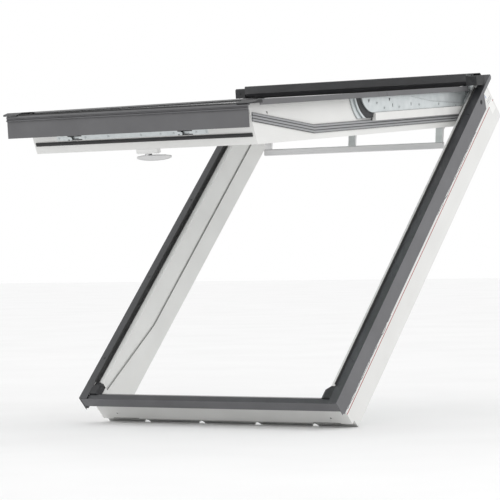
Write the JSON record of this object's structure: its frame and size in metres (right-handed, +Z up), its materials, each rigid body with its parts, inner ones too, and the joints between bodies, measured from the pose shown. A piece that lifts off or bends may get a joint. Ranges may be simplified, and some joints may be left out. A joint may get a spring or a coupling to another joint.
{
  "type": "roof window",
  "caption": "Top-hung roof window with centre-pivot sash, lift arms, ventilation flap and bar, room-side handle and weather cladding, shown part open.",
  "frame": {"origin": "centre of the sill rail's outer face", "axes": "+X across the window to the right seen from outside, +Y into the building, +Z up; the frame leans at 45 degrees of pitch"},
  "size_m": [0.802, 1.285, 0.9428],
  "materials": {
    "timber": "white polyurethane over a timber core, satin",
    "cladding": "roll-coated grey aluminium sheet, satin",
    "zinc_steel": "zinc plated steel",
    "arm_paint": "powder-coated steel channel",
    "black_plastic": "moulded nylon, matt",
    "black_rubber": "extruded rubber seal",
    "clear_glass": "float glass",
    "white_plastic": "moulded plastic",
    "satin_aluminium": "satin anodised",
    "label": "blank film sticker"
  },
  "bodies": {
    "frame": {"sill_rail": "timber", "head_rail": "timber", "left_jamb": "timber", "right_jamb": "timber", "left_frame_cover": "cladding", "right_frame_cover": "cladding", "sill_cover": "cladding", "head_cover": "cladding", "left_corner_block": "black_plastic", "right_corner_block": "black_plastic", "frame_gaskets": "black_rubber", "hinge_brackets": "zinc_steel", "hinge_pins": "zinc_steel", "bracket_screws": "zinc_steel", "lock_keeps": "zinc_steel", "cover_screws": "zinc_steel", "label_plate": "label"},
    "lift_arms": {"left_arm": "zinc_steel", "right_arm": "zinc_steel", "left_arm_box": "arm_paint", "right_arm_box": "arm_paint", "spring_cartridges": "zinc_steel", "pivot_runners": "black_plastic", "left_arm_cover": "cladding", "right_arm_cover": "cladding", "top_casing": "cladding", "left_casing_end": "cladding", "right_casing_end": "cladding", "casing_seal": "black_rubber", "casing_screws": "zinc_steel"},
    "sash": {"bottom_rail": "timber", "top_rail": "timber", "left_stile": "timber", "right_stile": "timber", "outer_pane": "clear_glass", "inner_pane": "clear_glass", "pane_spacer": "black_plastic", "glazing_gasket": "black_rubber", "front_cover": "cladding", "left_sash_cover": "cladding", "right_sash_cover": "cladding", "top_glass_cover": "cladding", "left_corner_cap": "black_plastic", "right_corner_cap": "black_plastic", "sash_gaskets": "black_rubber", "pivot_plates": "zinc_steel", "lock_faceplate": "zinc_steel", "lock_cases": "zinc_steel", "lock_gearbox": "zinc_steel", "handle_rosette": "white_plastic", "flap_pins": "zinc_steel"},
    "vent_flap": {"vent_flap": "timber", "vent_bar": "satin_aluminium", "bar_brackets": "satin_aluminium"},
    "handle": {"handle_lever": "satin_aluminium"},
    "lock_rod": {"lock_rod": "zinc_steel"}
  },
  "joints": [
    {"name": "top_hinge", "type": "hinge", "parent": "frame", "child": "lift_arms", "pos_m": [0, 0.76297, 0.84358], "axis": [-1, 0, 0], "range_deg": [-40.7, 4.3]},
    {"name": "sash_pivot", "type": "hinge", "parent": "lift_arms", "child": "sash", "pos_m": [0, 0.22869, 0.84051], "axis": [-1, 0, 0], "range_deg": [0, 160]},
    {"name": "flap_hinge", "type": "hinge", "parent": "sash", "child": "vent_flap", "pos_m": [0, 0.76268, 0.76734], "axis": [1, 0, 0], "range_deg": [0, 25]},
    {"name": "handle_turn", "type": "hinge", "parent": "sash", "child": "handle", "pos_m": [0, -0.29874, 0.66647], "axis": [0, -0.075, 0.9972], "range_deg": [0, 45]},
    {"name": "lock_slide", "type": "slide", "parent": "sash", "child": "lock_rod", "axis": [1, 0, 0], "range_m": [0, 0.02]}
  ],
  "couplings": [
    {"joint": "lock_slide", "follows": "handle_turn", "m_per_rad": 0.02546}
  ]
}
